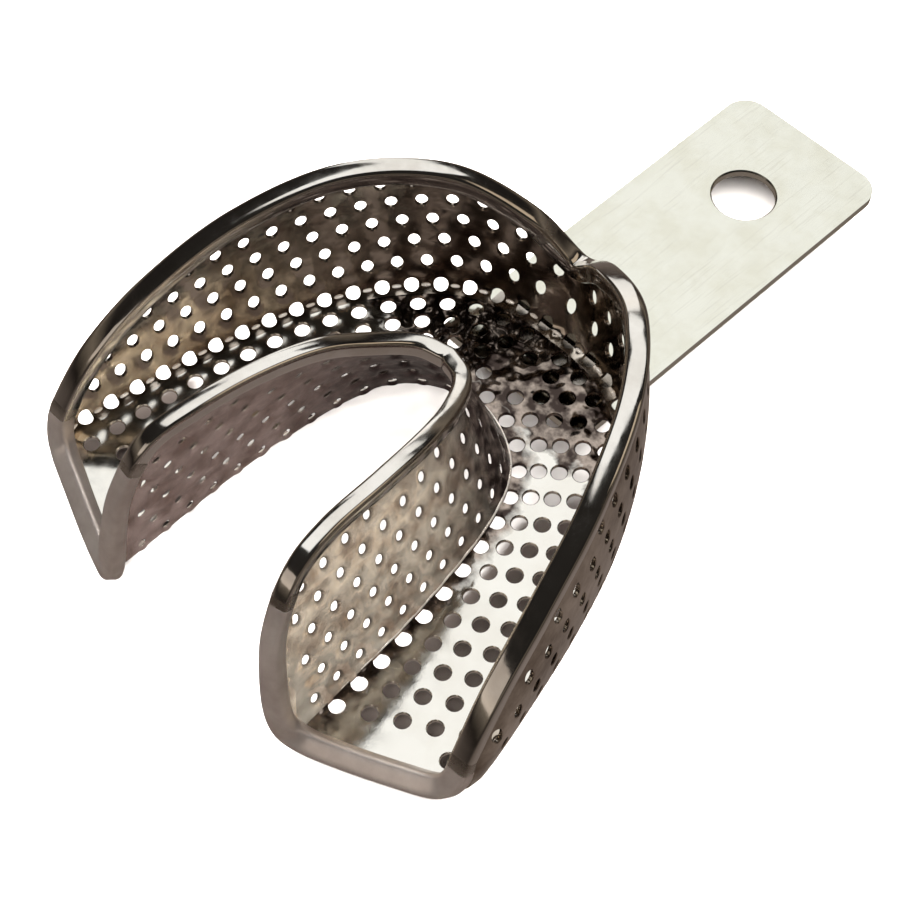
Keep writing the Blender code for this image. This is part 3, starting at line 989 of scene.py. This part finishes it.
def softbox(name, toward, distance, size, power, colour=(1, 1, 1), glossy=True):
    """A soft light that faces the tray from a direction."""
    data = bpy.data.lights.new(name, "AREA")
    data.shape = "RECTANGLE"
    data.size = size[0]
    data.size_y = size[1]
    data.energy = power
    data.color = colour
    light = bpy.data.objects.new(name, data)
    way = Vector(toward).normalized()
    light.location = way * distance
    light.rotation_euler = way.to_track_quat("Z", "Y").to_euler()
    light.visible_glossy = glossy
    bpy.context.scene.collection.objects.link(light)
    return light


def ceiling_light(name, low, high, radiance):
    """A level softbox over the rectangle between two corners in plan."""
    size = (high[0] - low[0], high[1] - low[1])
    power = radiance * math.pi * size[0] * size[1]
    light = softbox(name, (0, 0, 1), CEILING, size, power, KEY_TINT)
    light.location = ((low[0] + high[0]) / 2, (low[1] + high[1]) / 2, CEILING)


ceiling_light("key", (-0.40, -0.09), (-0.07, 0.64), 1.0)
ceiling_light("key_far", (-0.80, 0.40), (-0.40, 0.80), 1.0)
softbox("tan_card", (0.45, 0.50, 0.74), CARD_DISTANCE, (0.45, 0.45), 0.35, (1.0, 0.80, 0.58))
softbox("rise_card", (-0.69, 0.67, 0.26), CARD_DISTANCE, (0.30, 0.40), 0.38, KEY_TINT)
softbox("heel_card", (0.0, -0.85, 0.46), CARD_DISTANCE, (0.9, 0.35), 0.45, (1.0, 0.86, 0.74))
for step in range(FLOOR_LIGHTS):
    turn_by = math.radians(360 / FLOOR_LIGHTS * step + FLOOR_LIGHT_TURN)
    softbox("floor_light_%d" % step, (math.cos(turn_by), math.sin(turn_by), FLOOR_LIGHT_RISE),
            FLOOR_LIGHT_DISTANCE, (FLOOR_LIGHT_SIZE, FLOOR_LIGHT_SIZE), FLOOR_LIGHT_POWER,
            glossy=False)


def stage_piece(name, points, faces, material):
    """A piece of the studio, which the tray doesn't mirror."""
    mesh = bpy.data.meshes.new(name)
    mesh.from_pydata(points, [], faces)
    mesh.materials.append(material)
    piece = bpy.data.objects.new(name, mesh)
    piece.visible_glossy = False
    bpy.context.scene.collection.objects.link(piece)
    return piece


def studio_floor():
    """A wide plain pale floor under the tray."""
    material = bpy.data.materials.new("studio_floor")
    material.use_nodes = True
    shader = material.node_tree.nodes["Principled BSDF"]
    socket(shader, "Base Color", (*FLOOR_COLOUR, 1.0))
    socket(shader, "Roughness", 1.0)
    socket(shader, "Specular IOR Level", 0.0)
    corners = [(x * FLOOR_REACH, y * FLOOR_REACH, 0) for x, y in ((-1, -1), (1, -1), (1, 1), (-1, 1))]
    stage_piece("studio_floor", corners, [(0, 1, 2, 3)], material)


def limb_shade():
    """A veil under the limbs, unseen itself, that keeps most light from the floor below them.

    It is set off along the camera's line of sight, so that it lies behind the limbs' holes.
    """
    u = np.linspace(0, 1, VEIL_STEPS)
    sight = np.array(back) / back.z
    gap = SHEET + VEIL_GAP
    points = []
    for wall, margin in zip((outer, lingual), VEIL_MARGINS):
        edge = wall.lying(u * wall.length, np.full_like(u, -margin))
        clear = edge[:, 2:] + datum[2] / MM
        points.append(edge - sight * (gap + VEIL_DEPTH * (clear - gap)))
    fronts = np.where(points[0][:, 0] > 0, *VEIL_FRONTS)
    faces = [(i, i + 1, VEIL_STEPS + i + 1, VEIL_STEPS + i)
             for i in range(VEIL_STEPS - 1) if points[0][i, 1] < fronts[i]]
    material = bpy.data.materials.new("limb_shade")
    material.use_nodes = True
    nodes = material.node_tree.nodes
    veil = nodes.new("ShaderNodeBsdfTransparent")
    socket(veil, "Color", (*VEIL_COLOUR, 1.0))
    material.node_tree.links.new(veil.outputs["BSDF"], nodes["Material Output"].inputs["Surface"])
    shade = stage_piece("limb_shade", (np.vstack(points) * MM + datum).tolist(), faces, material)
    shade.visible_camera = False


def studio_world():
    """Dim warm surroundings: taupe below, dark at the sides, a little lighter overhead."""
    world = bpy.data.worlds.new("studio")
    tree = Shading(world)
    height = tree.spread(tree.axis("Generated", "Z"), -1.0, 1.0)
    colour = tree.ramp(height, [(0.0, (0.22, 0.18, 0.16)), (0.42, (0.12, 0.095, 0.08)),
                                (0.53, (0.008, 0.006, 0.005)), (0.66, (0.16, 0.13, 0.10)),
                                (0.74, (0.012, 0.010, 0.009)), (1.0, (0.02, 0.018, 0.016))])
    tree.link(colour, tree.nodes["Background"].inputs["Color"])
    bpy.context.scene.world = world


studio_floor()
limb_shade()
studio_world()
bpy.context.scene.view_settings.view_transform = "Standard"
